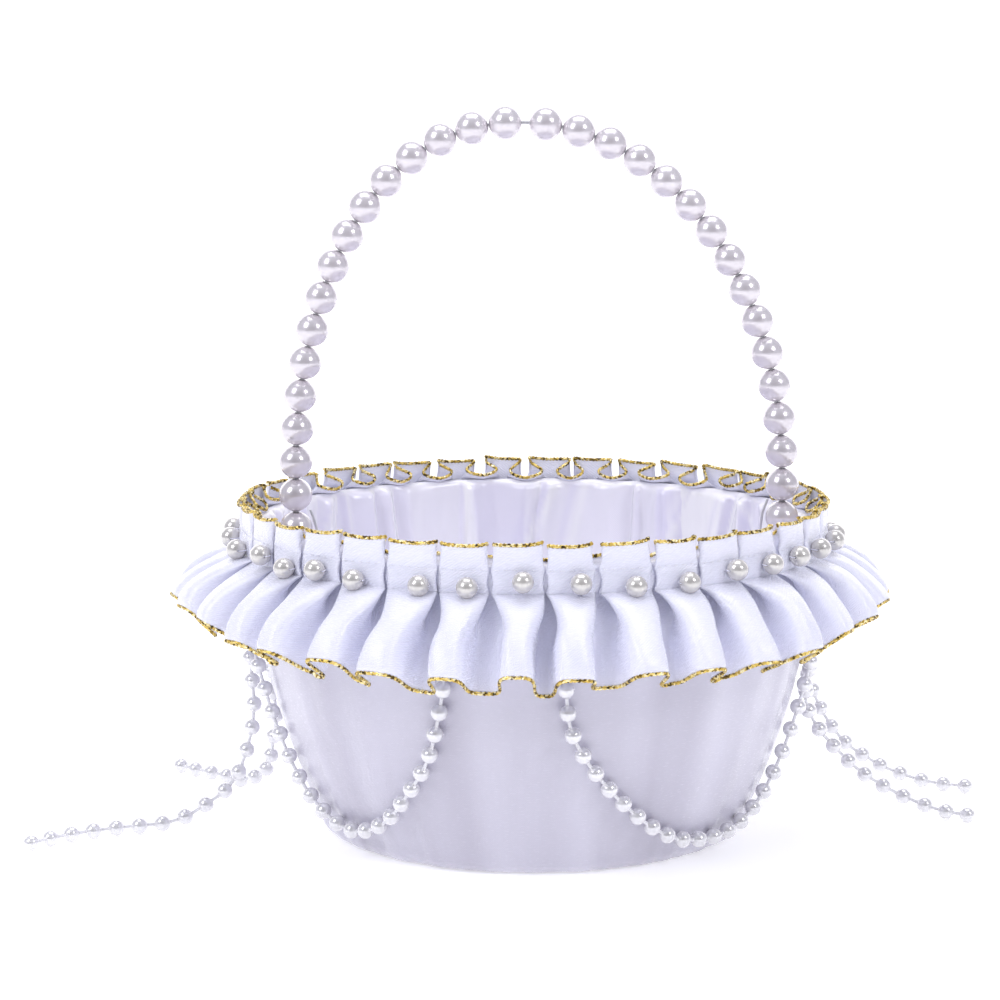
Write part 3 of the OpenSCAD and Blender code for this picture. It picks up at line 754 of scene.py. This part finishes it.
def ribbon_point(v):
    """All columns of the ribbon at distance v (mm) below its top edge."""
    u = col_u
    foot = np.minimum(np.abs(((ci + 180) % 360 - 180) - 90), np.abs(((ci + 180) % 360 - 180) + 90))
    near_foot = 1 - sstep(16, 30, foot)
    # tangential angle from the pleat's middle
    fx = soft_interp(u, flat_u, flat_x)
    fd = soft_interp(u, flat_u, flat_d)
    lx = soft_interp(u, loop_u, loop_x)
    ld = soft_interp(u, loop_u, loop_d)
    lz = soft_interp(u, loop_u, loop_z)
    # up to u=.177 the share is of the panel's half width; then of the way to the gap middle
    out = half_gap_angle
    edge_f = np.where(u <= .335, fx * hw, .15 * hw + (fx - .15) / .85 * (out - .15 * hw))
    k = loop_x[7]
    edge_l = np.where(u <= .337, lx * hw, k * hw + (lx - k) / (1 - k) * (out - k * hw))
    lw = 1 + 0.10 * gp["open"][gap_i]
    edge_l = np.where(u > .19, out - (out - edge_l) * lw, edge_l)
    if v < 13:
        b = 1 - float(sstep(0.0, 7.2, v))
        a = edge_f + (edge_l - edge_f) * b ** 0.9
        deep = (1 + 0.13 * gp["deep"][gap_i]) * (1 - 0.17 * near_foot)
        d = fd + (ld * deep - fd) * b
        up = LO_Z + (13 - v)
        z = up - lz * (1 + 0.15 * gp["drop"][gap_i]) * b ** 1.2
        z = z + (0.35 * pl["tilt"][col_p] * col_s * u / .177 + 0.30 * pl["hz"][col_p]) * sstep(9, 0, v) * (u < .19)
        r = 87.0 + 0.35 * sstep(7, 0, v) - d
        bow = (u / .177) ** 2
        r = r + np.where(u < .2, 0.35 * pl["bow"][col_p] * (1 - bow), 0) * sstep(7.5, 0, v)
        # cloth swells a little between the two sewn rows, and each row pulls it in
        r = r + np.where(u < .17, 0.28 * np.exp(-((v - 9.7) / 1.9) ** 2), 0)
        r = r - 0.20 * np.exp(-((v - 6.5) / 0.5) ** 2) * (u < .17)
        r = r - 0.22 * np.exp(-((v - 13.0) / 0.6) ** 2) * (u < .17)
        pinch = np.exp(-((v - 6.5) / 1.6) ** 2) + np.exp(-((v - 13.0) / 1.6) ** 2)
        slack = np.maximum(0, out - hw) * 0.62 * pinch
        a = a + slack * np.where(u < .262, (a / hw) ** 3, 0)
        top = sstep(6.0, 0, v)
        r = r - 0.9 * top * np.where(u < .19, (u / .177) ** 3, 0)
        z = z + 0.55 * top * np.where(u < .19, (u / .177) ** 2, 0) * (1 + 0.6 * col_s)
        ang = ci + col_s * a
        return pol(ang, r, z)
    q = (v - 13) / (V_END - 13)
    b = sstep(0.03, 0.55, q) ** 0.9
    a_side = np.abs(np.sin(np.radians(ci)))
    rear = 0.5 - 0.5 * np.cos(np.radians(ci))
    Rh = 108.6 + 1.5 * pl["hr"][col_p] - 0.6 * a_side - 2.4 * np.exp(-(ang_diff(ci, 88) / 22) ** 2)
    Zh = 66.2 + 4.8 * a_side ** 3 + 0.7 * rear + 1.0 * pl["hz"][col_p]
    Rv = 96.0 + 1.5 * gp["hr"][gap_i] + 1.5 * a_side
    Zv = 59.8 + 6.4 * a_side ** 3 + 0.8 * rear + 0.9 * gp["hz"][gap_i]
    sh = 1.55 + 0.25 * pl["sharp"][col_p]
    rr = 87 + (Rh - 87) * (1 - (1 - q) ** sh)
    zr = LO_Z - (LO_Z - Zh) * q ** 1.42
    rv = 86 + (Rv - 86) * q ** 1.15 + 0.8 * near_foot * sstep(0, .1, q) * (1 - sstep(.3, .6, q))
    zv = LO_Z - (LO_Z - Zv) * q ** 0.96
    wa = soft_interp(u, wave_u, wave_a)
    wm = soft_interp(u, wave_u, wave_m)
    widen = 1 + 0.17 * pl["wide"][col_p] + 0.06 * np.sin(q * 5 + 3 * pl["skew"][col_p])
    end = half_gap_angle
    out_gap = half_gap_angle
    # ridge part scales with its own width, the rest fills up to the gap's middle
    knee = 2.82 * widen
    wa = np.where(u <= .29, wa * widen, knee + (wa - 2.82) / (5.0 - 2.82) * (end - knee))
    lean = (0.75 * pl["lean"][col_p] * sstep(0.1, 1.0, q) + 0.35 * pl["skew"][col_p] * np.sin(q * math.pi * 1.2)
            + 0.75 * np.sin(math.pi * np.minimum(q / .6, 1)))
    fall = 1 - sstep(.30, .5, u)
    a = edge_f + (wa - edge_f) * b
    glean = 0.5 * gp["shift"][gap_i] * sstep(.25, 1.0, q) * sstep(.3, .5, u)
    slack = np.maximum(0, out_gap - hw) * 0.62 * math.exp(-((v - 13.0) / 1.6) ** 2)
    ang = ci + col_s * (a + slack * np.where(u < .262, (np.minimum(edge_f, hw) / hw) ** 3, 0)) + lean * fall + glean
    m = wm
    curl = 0.9 * pl["curl"][col_p] * q ** 2 * np.sin(u / .29 * math.pi) * (u < .29) * col_s
    r = rr + (rv - rr) * m - fd * (1 - b) + curl
    z = zr + (zv - zr) * m
    # lip of the hem turns under a little on the ridges
    r = r - 0.5 * sstep(.93, 1, q) * (1 - wm)
    return pol(ang, r, z)


rows = np.array([ribbon_point(v) for v in v_rows])          # rows x columns x 3
# relax the lower part slightly along the ribbon so that no fold is sharper than the cloth allows
for _ in range(2):
    for k in range(16, len(v_rows)):
        p = rows[k]
        w = 0.22 * sstep(16, 20, k)
        rows[k] = p + w * (0.5 * (np.roll(p, 1, 0) + np.roll(p, -1, 0)) - p)
NR = len(v_rows)
faces = []
for k in range(NR - 1):
    for j in range(NC):
        j2 = (j + 1) % NC
        faces.append((k * NC + j, (k + 1) * NC + j, (k + 1) * NC + j2, k * NC + j2))
# ribbon coordinates in cm for the weave: length along the ribbon, distance below the top edge
len_u = np.where(col_s > 0, col_u, 1 - col_u)
base_p = np.where(col_s > 0, col_p, (col_p - 1) % PLEATS)
s_mm = (base_p + len_u) * 38.2
quad_uv = []
for k in range(NR - 1):
    v0, v1 = v_rows[k] / 10, v_rows[k + 1] / 10
    a = s_mm / 10
    b = np.roll(a, -1)
    b = np.where(b < a - 1, b + PLEATS * 3.82, b)
    quad_uv.append(np.stack([np.stack([a, np.full(NC, v0)], -1), np.stack([a, np.full(NC, v1)], -1),
                             np.stack([b, np.full(NC, v1)], -1), np.stack([b, np.full(NC, v0)], -1)], 1))
quad_uv = np.concatenate(quad_uv).reshape(-1, 2)
ribbon = mesh_object("pleated_ribbon", rows.reshape(-1, 3), faces, M_RIBBON, uv=quad_uv)
ribbon = solidify(ribbon, 0.2)
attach(ribbon, "basket")
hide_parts("ruffle_ribbon")


def edging(name, line, inner, node_name):
    """Metallic cord along a ribbon edge: two plies twisted together, as a closed tube of two lobes."""
    loop = np.concatenate([line, line[:1]])
    d = along(loop)
    n = int(d[-1] / 0.36)
    s = np.arange(n) * d[-1] / n
    p = at(loop, d, s)
    loop_i = np.concatenate([inner, inner[:1]])
    away = at(loop, d, s) - np.stack([np.interp(s, d, loop_i[:, k]) for k in range(3)], -1)
    away /= np.linalg.norm(away, axis=1)[:, None]
    ext = np.concatenate([p[-1:], p, p[:1]])
    t = (ext[2:] - ext[:-2])
    t /= np.linalg.norm(t, axis=1)[:, None]
    u = away - (away * t).sum(1)[:, None] * t
    u /= np.linalg.norm(u, axis=1)[:, None]
    w = np.cross(t, u)
    k = np.arange(8) * 2 * math.pi / 8
    turns = round(d[-1] / 2.3)
    ph = s / d[-1] * turns * 2 * math.pi
    rad = 0.46 * (1 + 0.22 * np.cos(2 * (k[None, :] - ph[:, None])))
    v = (p + 0.22 * u)[:, None] + rad[..., None] * (1.12 * np.cos(k)[None, :, None] * u[:, None] + 0.86 * np.sin(k)[None, :, None] * w[:, None])
    verts = v.reshape(-1, 3)
    f = [[i * 8 + j, i * 8 + (j + 1) % 8, ((i + 1) % n) * 8 + (j + 1) % 8, ((i + 1) % n) * 8 + j] for i in range(n) for j in range(8)]
    ob = fix_normals(mesh_object(name, verts, f, M_GOLD))
    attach(ob, "basket")
    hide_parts(node_name)
    return ob


g1 = edging("gold_cord_top", rows[0], rows[1], "top_gold_edging")
g2 = edging("gold_cord_hem", rows[-1], rows[-2], "hem_gold_edging")


# running stitches: short dashes of thread that dip in and out of each panel
def stitches(name, row_v, node_name):
    k = int(np.argmin(abs(v_rows - row_v)))
    st = Parts()
    for i in range(PLEATS):
        m = (col_p == i) & (col_u < .17)
        order = np.argsort(col_s[m] * col_u[m])
        line = rows[k][m][order]
        keep = np.concatenate([[True], np.linalg.norm(np.diff(line, axis=0), axis=1) > 1e-6])
        line = line[keep]
        d = along(line)
        s = 0.5
        g = np.random.default_rng(100 + i)
        while s + 1.7 < d[-1]:
            L = g.uniform(1.4, 1.8)
            t = np.linspace(0, 1, 7)
            p = at(line, d, s + t * L)
            nrm = p * np.array([1, 1, 0])
            nrm /= np.linalg.norm(nrm, axis=1)[:, None]
            p = p + nrm * (0.02 + 0.20 * np.sin(t * math.pi) ** 0.6)[:, None] + np.array([0, 0, g.uniform(-0.12, 0.12)])
            v, f = tube(p, 0.15 * (0.45 + 0.55 * np.sin(t * math.pi) ** 0.5), 6, ref=(0, 0, 1))
            st.add(v, f)
            s += L + g.uniform(0.75, 1.1)
    ob = fix_normals(st.build(name, M_THREAD))
    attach(ob, "basket")
    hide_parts(node_name)
    return ob


s1 = stitches("running_stitch_upper", 6.5, "stitch_row_upper")
s2 = stitches("running_stitch_lower", 13.0, "stitch_row_lower")

# ---------------------------------------------------------------- ruffle pearls and their thread
rp, pt = Parts(), Parts()
front_da = [3.6, 2, 0.6, -0.4, 2.6, 1.3, 1, 1, 0.8, 1, 1.3, 0.6, -0.7, -1.2]
front_z = [88.6, 86.7, 87.9, 86.7, 86.7, 86.8, 88.6, 88, 86.7, 86.7, 88.6, 88.5, 88.9, 88.9]
for i in range(PLEATS):
    j = (i + 6) % PLEATS
    if j < len(front_da):
        A, z = -2.8 + 10 * i + front_da[j], front_z[j]
    else:
        A = -2.8 + 10 * i + 1.1 * math.sin(math.radians(i * 137)) + 0.7 * math.sin(math.radians(i * 61))
        z = 87.6 + 0.7 * math.sin(math.radians(i * 97)) + 0.4 * math.cos(math.radians(i * 53))
    out = pol(A, 1.0, 0.0)
    tang = np.array([-out[1], out[0], 0])
    c = pol(A, 89.85, z)
    v, f = lathe(bored_ball(3.0, 0.26, rows=24, lip=0.06), c, tang, 36)
    rp.add(v, f)
    loc = [(-1.5, -2.85), (-2.3, -2.12), (-2.86, -1.2), (-3.06, -0.34), (-2.85, 0), (0, 0), (2.85, 0), (3.06, -0.34), (2.86, -1.2), (2.3, -2.12), (1.5, -2.85)]
    p = np.array([c + a * tang + b * out for a, b in loc])
    v, f = tube(smooth(p, 4), 0.15, 8, ref=(0, 0, 1))
    pt.add(v, f)
rpo = fix_normals(rp.build("pleat_pearls", M_RUFFLE_PEARL))
pto = fix_normals(pt.build("pleat_pearl_stitches", M_THREAD))
for ob, nd, sl in ((rpo, "ruffle_pearls", "ruffle_pearl"), (pto, "pearl_threads", "sewing_thread")):
    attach(ob, "basket")
    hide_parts(nd)


# ---------------------------------------------------------------- satin round the bowl
def grid(name, P, mat, uv, wrap_u=True):
    """P: rows x columns x 3, the columns going round."""
    nr, nc = P.shape[:2]
    f, q = [], []
    for k in range(nr - 1):
        for j in range(nc):
            j2 = (j + 1) % nc
            f.append((k * nc + j, k * nc + j2, (k + 1) * nc + j2, (k + 1) * nc + j))
    U, V = uv
    for k in range(nr - 1):
        a = U[k]
        b = np.concatenate([a[1:], [a[-1] + (a[-1] - a[-2])]])
        c = U[k + 1]
        d = np.concatenate([c[1:], [c[-1] + (c[-1] - c[-2])]])
        q.append(np.stack([np.stack([a, V[k]], -1), np.stack([b, V[k]], -1), np.stack([d, V[k + 1]], -1), np.stack([c, V[k + 1]], -1)], 1))
    return mesh_object(name, P.reshape(-1, 3), f, mat, uv=np.concatenate(q).reshape(-1, 2))


def set_painted_fold_shade(ob, rows_of_tone):
    """Stores painted shade and sheen: how light or dark each part of a fold is painted, for the satin material."""
    at_ = ob.data.attributes.new("painted_fold_shade", "FLOAT", "POINT")
    at_.data.foreach_set("value", np.array(rows_of_tone, dtype=np.float32).ravel())


# outer cover: stretched over the wall in soft upright folds, drawn in at the base and turned under
NCV = 540
A = np.arange(NCV) * 360 / NCV
soft = wave_noise(5, [9, 14, 21, 29, 38], [.12, .17, .25, .22, .13])
pucker = wave_noise(9, [44, 57, 73, 88], [.09, .08, .07, .05])
prof = [(53.9, 0.5), (55.4, 0.45), (57.2, 0.45)] + [(None, z) for z in
        [0.7, 1.2, 1.9, 2.8, 3.9, 5, 7, 9.5, 12.5, 16, 20, 25, 30, 36, 42, 48, 54, 60, 66, 72, 78, 83, 87, 90, 91]]
cover_painted_sheen_and_shade = []
# painted sheen and shade: broad upright stripes, lighter and darker at random, stored on the cover and mixed into its
# colour
band = wave_noise(23, [5, 9, 14, 22, 33], [.20, .26, .26, .20, .10])
rowsc, V = [], []
vlen = 0.0
prev = None
for r0, z in prof:
    if r0 is None:
        base = float(cover_r(z))
        amp = 0.8 + 0.2 * float(sstep(30, 4, z))
        f = soft(A, z) * amp
        f = f + pucker(A + 0.06 * z, z) * float(sstep(17, 3, z)) * 1.3
        # crisp drawn lines here and there
        for a0, w0, dpt, sl in ((-14, 1.6, .32, .02), (-3, 1.2, .22, -.03), (9, 2.0, .28, .03), (-31, 1.8, .22, .04), (27, 1.6, .25, -.04),
                                (48, 2.2, .3, .02), (-58, 2.0, .28, -.02), (92, 2, .3, 0), (131, 2.2, .3, .02), (170, 2, .28, -.02), (-150, 2.3, .3, .03), (-105, 2, .3, 0)):
            x = ang_diff(A, a0 + sl * z) / w0
            f = f - dpt * np.exp(-x * x) * (0.35 + 0.65 * float(sstep(45, 5, z))) + 0.6 * dpt * np.exp(-((x - 1.6) / 1.2) ** 2) * (0.3 + 0.7 * float(sstep(55, 5, z)))
        f = np.where(f > 0, 0.46 * np.tanh(f / 0.46), 0.56 * np.tanh(f / 0.56)) - 0.10
        r = base + f
        zz = np.full(NCV, z)
    else:
        r = r0 + 0.25 * pucker(A, 0)
        zz = np.full(NCV, z) + 0.1
    rowsc.append(pol(A, r, zz))
    cover_painted_sheen_and_shade.append(np.clip(0.5 + 0.85 * band(A + 0.03 * z, z), 0, 1))
    p0 = np.array([r0 or base, z])
    vlen += 0 if prev is None else np.linalg.norm(p0 - prev)
    prev = p0
    V.append(np.full(NCV, vlen / 10))
U = [np.radians(A) * 8.0 for _ in prof]
cover = grid("satin_cover", np.array(rowsc), M_COVER_PAINTED_SHADE_AND_SHEEN, (U, V))
set_painted_fold_shade(cover, cover_painted_sheen_and_shade)
cover = solidify(cover, 0.22, 0)
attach(cover, "basket")
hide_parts("outer_cover")

# lining: knife creases between flatter faces, folded over the rim
NL = 900
A = np.arange(NL) * 360 / NL
g = np.random.default_rng(33)
starts = np.sort((np.arange(38) * 360 / 38 + g.uniform(-3.0, 3.0, 38)) % 360)
nfold = len(starts)
slant = g.uniform(-0.16, 0.16, nfold)
amp = g.uniform(1.8, 4.4, nfold)
peak = g.uniform(0.12, 0.88, nfold)
pins = [(g.uniform(0, 360), g.uniform(-0.45, 0.45), g.uniform(0.5, 1.3), g.uniform(0.7, 1.5)) for _ in range(44)]
zs = np.array([3.6, 5.4, 7.5, 10, 14, 19, 25, 32, 39, 46, 53, 59, 64, 68.5, 72.5, 76, 79, 82, 84.5, 87, 89, 90.4])
wr = wave_noise(12, [31, 47, 64, 83, 109], [.10, .10, .08, .06, .04], slants=None)
wr2 = wave_noise(13, [52, 71, 95], [.16, .13, .10])
# painted shade: each fold gets two random values, one for the face before its crest and one for the face after, so one
# face is painted lighter and the other darker
ta, tb = g.uniform(0.0, 0.62, nfold), g.uniform(0.42, 1.0, nfold)
swap = g.uniform(0, 1, nfold) < 0.3
ta, tb = np.where(swap, tb, ta), np.where(swap, ta, tb)
rowsl, U, V, lining_painted_light_and_shade = [], [], [], []
for z in zs:
    b = starts + slant * (z - 70) + 1.2 * np.sin(z / 17 + starts)
    f = np.zeros(NL)
    tone = np.full(NL, 0.5)
    for j in range(nfold):
        lo, hi = b[j], b[(j + 1) % nfold]
        span = (hi - lo) % 360
        x = ((A - lo) % 360) / span
        inside = x < 1
        pk = peak[j]
        tri = np.where(x < pk, x / pk, (1 - x) / (1 - pk))
        tri = np.clip(tri, 0, 1)
        tri = tri ** 1.3
        f = np.where(inside, amp[j] * tri, f)
        tone = np.where(inside, tb[j] + (ta[j] - tb[j]) * sstep(pk + 0.07, pk - 0.07, x), tone)
    # narrow drawn creases that run across the broader folds; each also paints a highlight on one side and shade on the
    # other
    for a0, sl0, am0, w0 in pins:
        x = ang_diff(A, a0 + sl0 * (z - 80)) / w0
        f = f + am0 * np.exp(-x * x) * sstep(30, 62, z)
        tone = tone + (0.35 * np.exp(-((x - 0.9) / 0.8) ** 2) - 0.35 * np.exp(-((x + 0.9) / 0.8) ** 2)) * sstep(20, 62, z)
    # soften the creases a little
    f = 0.25 * np.roll(f, 1) + 0.5 * f + 0.25 * np.roll(f, -1)
    top = float(sstep(92, 84, z))
    low = float(sstep(6, 20, z))
    f = f * (0.72 + 0.28 * top) * (0.35 + 0.65 * low) * (0.1 + 0.9 * float(sstep(4.5, 10, z)))
    f = f + (wr(A, z) + wr2(A + 0.25 * z, z) * 0.6) * 0.8
    foot = np.minimum(np.abs(ang_diff(A, 90)), np.abs(ang_diff(A, -90)))
    lim = 0.9 + 2.4 * sstep(9, 22, foot)
    f = np.where(z > 66, np.minimum(f, lim), f)
    r = float(cover_r(z)) - 3.05 - np.maximum(f, -0.1)
    rowsl.append(pol(A, r, z))
    lining_painted_light_and_shade.append(np.clip(0.5 + (tone - 0.5) * (0.45 + 0.55 * low), 0, 1))
    U.append(np.radians(A) * 7.8)
    V.append(np.full(NL, z / 10))
base_top = rowsl[-1]
for r, z, v in ((81.05, 91.5, 9.15), (81.7, 92.05, 9.25), (82.6, 92.2, 9.35), (83.5, 92.0, 9.45), (84.0, 91.4, 9.55), (84.12, 90.4, 9.65)):
    w = 1 if v < 9.3 else 0.6
    rr = r - 0.35 * (wr(A, 90) + 0.2) * w
    rowsl.append(pol(A, np.minimum(rr, 84.4), z + 0.18 * wr2(A, 90)))
    # painted light: the turned-over rim is eased towards a light, even value
    lining_painted_light_and_shade.append(0.35 + 0.3 * (lining_painted_light_and_shade[-1] - 0.35))
    U.append(np.radians(A) * 7.8)
    V.append(np.full(NL, v))
lin = grid("satin_lining", np.array(rowsl), M_LINING_PAINTED_LIGHT_AND_SHADE, (U, V))
set_painted_fold_shade(lin, lining_painted_light_and_shade)
lin = solidify(lin, 0.22, 0)
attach(lin, "basket")
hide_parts("lining")

# padded floor: a crowned disc whose satin is drawn over its edge in small gathers
NP_ = 240
A = np.arange(NP_) * 360 / NP_
gather = wave_noise(17, [36, 47, 61, 78], [.10, .09, .07, .05])
dome = wave_noise(19, [3, 5, 8], [.12, .10, .07])
rad = [0.6, 6, 13, 21, 29, 37, 44, 49.5, 53.5, 56, 57.6, 58.3, 58.2, 57.2, 55]
hgt = [7.15, 7.14, 7.1, 7.02, 6.9, 6.72, 6.5, 6.2, 5.75, 5.2, 4.6, 4.1, 3.7, 3.45, 3.35]
rowsp = []
for r, z in zip(rad, hgt):
    k = float(sstep(30, 57, r))
    rowsp.append(pol(A, r * (1 + 0.004 * gather(A, 0) * k), z - 0.15 + (0.45 * gather(A, r) * k + 0.25 * dome(A, r) * (r / 58)) * (z > 3.6) * 0.6))
P = np.array(rowsp)
nr, nc = P.shape[:2]
verts = np.concatenate([P.reshape(-1, 3), [[0, 0, 7.0]], [[0, 0, 3.35]]])
f, uvq = [], []
for k in range(nr - 1):
    for j in range(nc):
        f.append((k * nc + j, k * nc + (j + 1) % nc, (k + 1) * nc + (j + 1) % nc, (k + 1) * nc + j))
f += [(nr * nc, (j + 1) % nc, j) for j in range(nc)]
f += [(nr * nc + 1, (nr - 1) * nc + j, (nr - 1) * nc + (j + 1) % nc) for j in range(nc)]
pad = mesh_object("satin_pad", verts, f, M_PAD, uv=verts[:, :2] / 10)
pad = fix_normals(pad)
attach(pad, "basket")
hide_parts("floor_pad")

# ---------------------------------------------------------------- carried-over CAD nodes
for name, mat in (("basket_shell", M_SHELL), ("base_card", M_CARD)):
    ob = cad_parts[name]
    ob.data.materials.clear()
    ob.data.materials.append(mat)

# ---------------------------------------------------------------- stage and light
def stage_mat():
    m, nt, b = new_mat("stage_white")
    oc = obj_coord(nt)
    n = noise(nt, oc, 3, 2, 0.5)
    nt.links.new(mix_col(nt, n, (0.93, 0.93, 0.935), (0.91, 0.91, 0.92)), b.inputs["Base Color"])
    b.inputs["Roughness"].default_value = 0.9
    b.inputs["Specular IOR Level"].default_value = 0.1
    b.inputs["Emission Color"].default_value = (1, 1, 1, 1)
    sep = node(nt, "ShaderNodeSeparateXYZ")
    nt.links.new(oc, sep.inputs["Vector"])
    mr = node(nt, "ShaderNodeMapRange")
    mr.inputs["From Min"].default_value = 0.5
    mr.inputs["From Max"].default_value = 2.2
    mr.inputs["To Min"].default_value = 0.36
    mr.inputs["To Max"].default_value = 0.95
    nt.links.new(sep.outputs["Y"], mr.inputs["Value"])
    nt.links.new(mr.outputs["Result"], b.inputs["Emission Strength"])
    return m


prof = [(-4.0, -0.0001), (3.2, -0.0001)] + [(3.2 + 1.2 * math.sin(a), 1.2 - 1.2 * math.cos(a)) for a in np.radians(np.linspace(8, 90, 14))] + [(4.4, 4.5)]
sv, sf = [], []
for i, (y, z) in enumerate(prof):
    sv += [(-6, y, z), (6, y, z)]
    if i:
        sf.append((2 * i - 2, 2 * i - 1, 2 * i + 1, 2 * i))
me = bpy.data.meshes.new("backdrop")
me.from_pydata(sv, [], sf)
me.polygons.foreach_set("use_smooth", [True] * len(me.polygons))
floor = bpy.data.objects.new("backdrop", me)
scene.collection.objects.link(floor)
me.materials.append(stage_mat())


def area(name, loc, target, size, power, colour=(1, 1, 1), shape="RECTANGLE"):
    ld = bpy.data.lights.new(name, "AREA")
    ld.shape = shape
    ld.size = size[0]
    if shape in ("RECTANGLE", "ELLIPSE"):
        ld.size_y = size[1]
    ld.energy = power
    ld.color = colour
    ob = bpy.data.objects.new(name, ld)
    scene.collection.objects.link(ob)
    ob.location = loc
    ob.rotation_euler = (Vector(target) - Vector(loc)).to_track_quat("-Z", "Y").to_euler()
    return ob


T = (0, 0, 0.1)
area("softbox_right", (0.90, -0.85, 0.85), T, (0.34, 0.42), 4.4, (0.955, 0.96, 1.0))
area("softbox_left", (-0.95, -0.80, 1.0), T, (0.6, 0.8), 7.6, (0.94, 0.95, 1.0))
area("overhead", (0.0, 0.10, 1.4), T, (1.1, 0.8), 7.4, (0.95, 0.955, 1.0))

world = bpy.data.worlds.new("studio")
scene.world = world
world.use_nodes = True
nt = world.node_tree
bg = nt.nodes["Background"]
tc = nt.nodes.new("ShaderNodeTexCoord")
sp = nt.nodes.new("ShaderNodeSeparateXYZ")
nt.links.new(tc.outputs["Generated"], sp.inputs["Vector"])
mr = nt.nodes.new("ShaderNodeMapRange")
mr.inputs["From Min"].default_value = -1.0
mr.inputs["From Max"].default_value = -0.55
mr.inputs["To Min"].default_value = 0.0
mr.inputs["To Max"].default_value = 1.0
nt.links.new(sp.outputs["Y"], mr.inputs["Value"])
cr = nt.nodes.new("ShaderNodeValToRGB")
cr.color_ramp.elements[0].color = (0.24, 0.225, 0.24, 1)
cr.color_ramp.elements[1].color = (0.89, 0.895, 1.0, 1)
nt.links.new(mr.outputs["Result"], cr.inputs["Fac"])
nt.links.new(cr.outputs["Color"], bg.inputs["Color"])
bg.inputs["Strength"].default_value = 0.58

scene.view_settings.view_transform = "Standard"
scene.view_settings.look = "None"
scene.view_settings.exposure = 0.0
scene.view_settings.gamma = 1.0
